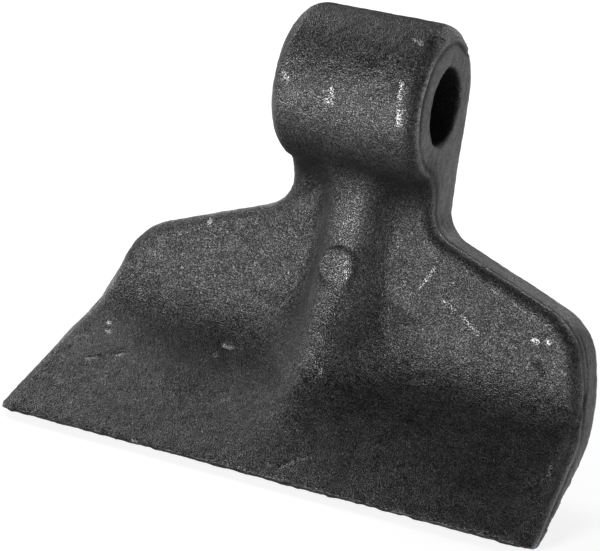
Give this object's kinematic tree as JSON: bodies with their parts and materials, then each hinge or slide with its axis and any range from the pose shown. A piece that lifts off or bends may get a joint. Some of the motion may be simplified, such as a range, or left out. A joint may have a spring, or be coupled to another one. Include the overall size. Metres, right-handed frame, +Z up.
{
  "type": "mulcher hammer blade",
  "caption": "Drop forged mulcher hammer blade: a fan shaped steel scoop with a raised middle rib and a straight cutting edge, hung from a barrel hub with a cross bore.",
  "frame": {"origin": "middle of the pin bore, on its axis", "axes": "+X along the pin bore and the cutting edge, +Y to the flat back of the neck, +Z up from the blade through the hub, as it hangs from its pin"},
  "size_m": [0.1516, 0.0674, 0.1172],
  "materials": {
    "forged_steel": "dark scale of a drop forging, bare, matt to satin"
  },
  "bodies": {
    "root": {"hammer_blade": "forged_steel"}
  },
  "joints": []
}
